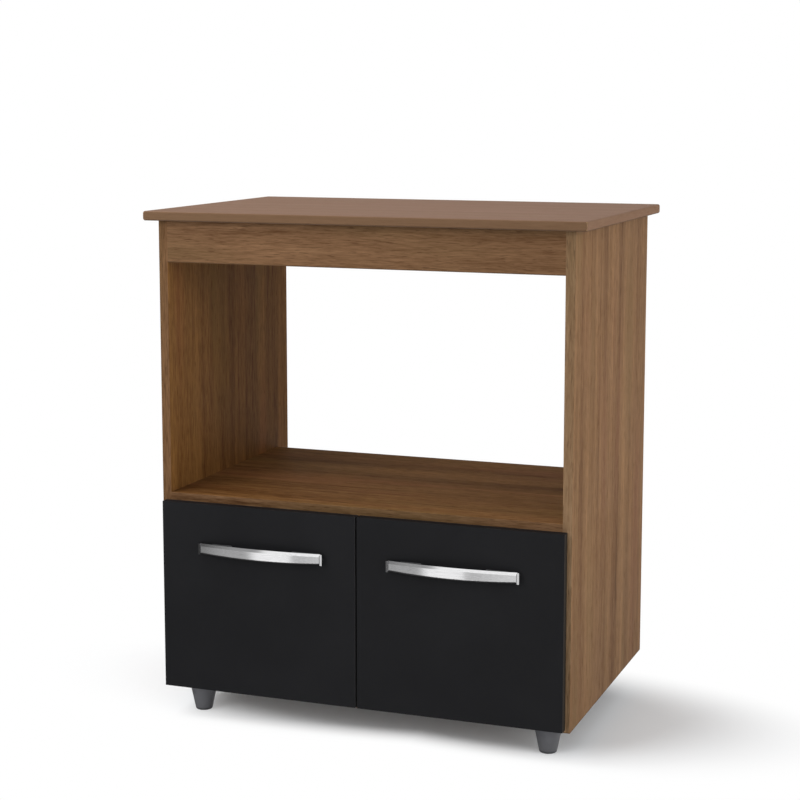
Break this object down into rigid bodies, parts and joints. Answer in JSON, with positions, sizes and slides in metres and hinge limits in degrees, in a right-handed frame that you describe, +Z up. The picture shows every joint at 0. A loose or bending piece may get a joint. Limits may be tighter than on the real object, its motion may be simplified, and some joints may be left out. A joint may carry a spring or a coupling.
{
  "type": "microwave cabinet",
  "caption": "Free-standing kitchen cabinet: open through niche for an appliance under an overhanging top, and a lower compartment closed by side-hung doors with bowed handles.",
  "frame": {"origin": "on the floor, at the middle of the whole cabinet's length and depth, handles included", "axes": "+X to the right seen from the front, +Y to the rear, +Z up; the doors face -Y"},
  "size_m": [0.722, 0.497, 0.821],
  "materials": {
    "brown_board": "satin wood-grain laminate",
    "black_board": "matte black laminate",
    "back_board": "thin hardboard, brown face",
    "handle_metal": "satin metal",
    "dark_plastic": "moulded, dark grey",
    "plated_steel": "zinc plated",
    "cast_zinc": "die cast",
    "dowel_wood": "fluted beech, plain here",
    "bumper_rubber": "soft, clear grey"
  },
  "bodies": {
    "root": {"back_panel": "back_board", "back_panel_nails": "plated_steel", "bottom_panel": "brown_board", "cam_bolts": "plated_steel", "cam_locks": "cast_zinc", "foot_screws": "plated_steel", "front_left_foot": "dark_plastic", "front_rail": "brown_board", "front_right_foot": "dark_plastic", "left_hinge_arm_pins": "plated_steel", "left_hinge_arm_screws": "plated_steel", "left_hinge_plate_screws": "plated_steel", "left_lower_hinge_arm": "plated_steel", "left_lower_hinge_plate": "plated_steel", "left_side_panel": "brown_board", "left_upper_hinge_arm": "plated_steel", "left_upper_hinge_plate": "plated_steel", "middle_shelf": "brown_board", "rear_left_foot": "dark_plastic", "rear_rail": "brown_board", "rear_right_foot": "dark_plastic", "right_hinge_arm_pins": "plated_steel", "right_hinge_arm_screws": "plated_steel", "right_hinge_plate_screws": "plated_steel", "right_lower_hinge_arm": "plated_steel", "right_lower_hinge_plate": "plated_steel", "right_side_panel": "brown_board", "right_upper_hinge_arm": "plated_steel", "right_upper_hinge_plate": "plated_steel", "top_bracket_screws": "plated_steel", "top_brackets": "plated_steel", "top_panel": "brown_board", "wooden_dowels": "dowel_wood"},
    "left_hinge_links": {"left_lower_hinge_link": "plated_steel", "left_upper_hinge_link": "plated_steel"},
    "right_hinge_links": {"right_lower_hinge_link": "plated_steel", "right_upper_hinge_link": "plated_steel"},
    "left_door": {"left_door": "black_board", "left_door_bumpers": "bumper_rubber", "left_door_handle": "handle_metal", "left_handle_bases": "dark_plastic", "left_handle_screws": "plated_steel", "left_hinge_cup_pins": "plated_steel", "left_hinge_cup_screws": "plated_steel", "left_lower_hinge_cup": "plated_steel", "left_upper_hinge_cup": "plated_steel"},
    "right_door": {"right_door": "black_board", "right_door_bumpers": "bumper_rubber", "right_door_handle": "handle_metal", "right_handle_bases": "dark_plastic", "right_handle_screws": "plated_steel", "right_hinge_cup_pins": "plated_steel", "right_hinge_cup_screws": "plated_steel", "right_lower_hinge_cup": "plated_steel", "right_upper_hinge_cup": "plated_steel"}
  },
  "joints": [
    {"name": "left_door_swing", "type": "hinge", "parent": "left_hinge_links", "child": "left_door", "pos_m": [-0.3237, -0.2155, 0.2055], "axis": [0, 0, -1], "range_deg": [0, 155]},
    {"name": "left_link_swing", "type": "hinge", "parent": "root", "child": "left_hinge_links", "pos_m": [-0.3095, -0.2115, 0.2055], "axis": [0, 0, -1], "range_deg": [-55, 0]},
    {"name": "right_door_swing", "type": "hinge", "parent": "right_hinge_links", "child": "right_door", "pos_m": [0.3237, -0.2155, 0.2055], "axis": [0, 0, 1], "range_deg": [0, 155]},
    {"name": "right_link_swing", "type": "hinge", "parent": "root", "child": "right_hinge_links", "pos_m": [0.3095, -0.2115, 0.2055], "axis": [0, 0, 1], "range_deg": [-55, 0]}
  ],
  "couplings": [
    {"joint": "left_link_swing", "follows": "left_door_swing", "ratio": -0.35484},
    {"joint": "right_link_swing", "follows": "right_door_swing", "ratio": -0.35484}
  ]
}
